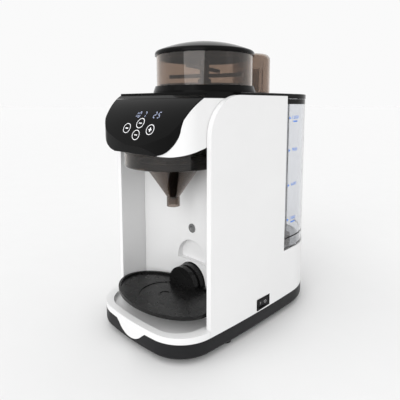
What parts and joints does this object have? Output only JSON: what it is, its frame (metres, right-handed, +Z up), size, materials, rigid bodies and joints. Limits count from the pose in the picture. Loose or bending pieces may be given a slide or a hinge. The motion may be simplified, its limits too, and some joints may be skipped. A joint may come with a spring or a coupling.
{
  "type": "baby formula maker",
  "caption": "Countertop powder and water mixer: bowed control head over an open bottle bay, smoked powder container on top, clear wrap-round water tank behind.",
  "frame": {"origin": "on the worktop under the middle of the machine's bounding box", "axes": "+X to the viewer's right, -Y to the front, +Z up"},
  "size_m": [0.19, 0.303, 0.3753],
  "materials": {
    "white_shell": "moulded white plastic, semi gloss",
    "black_base": "fine satin black plastic",
    "black_gloss": "high gloss black plastic",
    "smoked": "smoked brown transparent plastic",
    "clear": "clear plastic, faintly grey",
    "dark_plastic": "dark brown plastic",
    "gear_plastic": "natural acetal",
    "pale_plastic": "pale plastic",
    "sensor": "dark lens",
    "rubber": "black rubber",
    "steel": "turned steel",
    "aluminium": "cast aluminium",
    "brass_pin": "plated brass",
    "board": "green circuit board"
  },
  "bodies": {
    "housing": {"base_pan": "black_base", "feet": "rubber", "chassis_plate": "black_base", "side_panel_left": "white_shell", "side_panel_right": "white_shell", "rear_cover": "white_shell", "tank_shelf": "white_shell", "partition": "white_shell", "bay_wall": "white_shell", "bottle_sensor": "sensor", "head_shell": "white_shell", "funnel_collar": "smoked", "control_panel": "black_gloss", "control_board": "board", "display_module": "dark_plastic", "top_deck": "black_gloss", "container_seat": "black_base", "powder_chute": "black_base", "gear_plate": "black_base", "gear_motor": "steel", "water_pump": "dark_plastic", "water_heater": "aluminium", "power_board": "board", "switch_frame": "black_gloss", "mains_inlet": "black_base", "inlet_pins": "brass_pin"},
    "rocker": {"power_rocker": "black_base"},
    "drip_tray": {"drip_pan": "white_shell"},
    "bottle_platform": {"bottle_tray": "black_gloss"},
    "funnel_drawer": {"funnel_holder": "smoked", "mixing_funnel": "smoked", "mixing_nozzle": "dark_plastic"},
    "container": {"powder_container": "smoked", "container_foot": "black_gloss"},
    "lid": {"container_lid": "black_gloss"},
    "metering": {"dosing_wheel": "dark_plastic", "stirrer": "dark_plastic"},
    "gear_train": {"drive_shaft": "steel", "drive_gear": "gear_plastic"},
    "pinion": {"motor_pinion": "gear_plastic", "motor_shaft": "steel"},
    "tank": {"water_tank": "clear", "valve_cage": "dark_plastic", "valve_spring": "steel"},
    "tank_cover": {"tank_lid": "black_gloss", "filter_cover": "smoked", "filter_core": "pale_plastic", "filter_tubes": "clear"},
    "valve": {"valve_poppet": "dark_plastic"}
  },
  "joints": [
    {"name": "rocker_tilt", "type": "hinge", "parent": "housing", "child": "rocker", "pos_m": [0.0898, -0.006, 0.0347], "axis": [0, 0, 1], "range_deg": [0, 14]},
    {"name": "drip_tray_slide", "type": "slide", "parent": "housing", "child": "drip_tray", "axis": [0, -1, 0], "range_m": [0, 0.09]},
    {"name": "bottle_platform_slide", "type": "slide", "parent": "housing", "child": "bottle_platform", "axis": [0, -1, 0], "range_m": [0, 0.06]},
    {"name": "funnel_drawer_slide", "type": "slide", "parent": "housing", "child": "funnel_drawer", "axis": [0, -1, 0], "range_m": [0, 0.07]},
    {"name": "container_lift", "type": "slide", "parent": "housing", "child": "container", "axis": [0, 0, 1], "range_m": [0, 0.08]},
    {"name": "lid_lift", "type": "slide", "parent": "container", "child": "lid", "axis": [0, 0, 1], "range_m": [0, 0.06]},
    {"name": "metering_spin", "type": "hinge", "parent": "container", "child": "metering", "pos_m": [0, -0.019, 0.315], "axis": [0, 0, 1], "continuous": true},
    {"name": "drive_spin", "type": "hinge", "parent": "housing", "child": "gear_train", "pos_m": [0, -0.019, 0.282], "axis": [0, 0, 1], "continuous": true},
    {"name": "pinion_spin", "type": "hinge", "parent": "housing", "child": "pinion", "pos_m": [0, 0.017, 0.282], "axis": [0, 0, 1], "continuous": true},
    {"name": "tank_lift", "type": "slide", "parent": "housing", "child": "tank", "axis": [0, 0, 1], "range_m": [0, 0.12]},
    {"name": "tank_cover_lift", "type": "slide", "parent": "tank", "child": "tank_cover", "axis": [0, 0, 1], "range_m": [0, 0.04]},
    {"name": "valve_lift", "type": "slide", "parent": "tank", "child": "valve", "axis": [0, 0, 1], "range_m": [0, 0.003], "stiffness_N_per_m": 80, "springref_m": -0.003, "deforming": ["valve_spring"]}
  ],
  "couplings": [
    {"joint": "drive_spin", "follows": "metering_spin", "ratio": 1},
    {"joint": "pinion_spin", "follows": "metering_spin", "ratio": -3}
  ]
}
